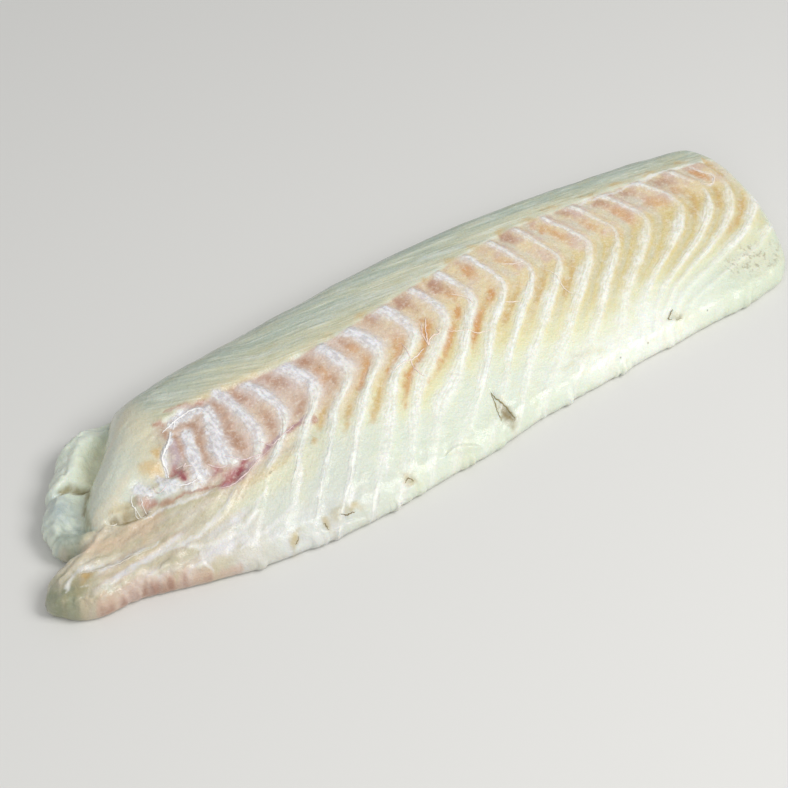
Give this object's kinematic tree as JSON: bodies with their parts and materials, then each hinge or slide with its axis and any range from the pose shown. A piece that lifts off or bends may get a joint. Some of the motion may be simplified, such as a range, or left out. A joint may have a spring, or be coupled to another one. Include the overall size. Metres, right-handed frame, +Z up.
{
  "type": "cod fillet",
  "caption": "Raw skinless cod fillet lying cut face up: thick loin with chevron flakes, blunt nose, low lobe and thin belly flap.",
  "frame": {"origin": "centre of the fillet's bounding box, on the surface it lies on", "axes": "+X from the head end to the tail end, +Y towards the fish's back, +Z up, cut face up"},
  "size_m": [0.3378, 0.0994, 0.0288],
  "materials": {
    "flesh": "moist raw cod flesh, translucent, with white sheets between tan flakes"
  },
  "bodies": {
    "root": {"fillet": "flesh"}
  },
  "joints": []
}
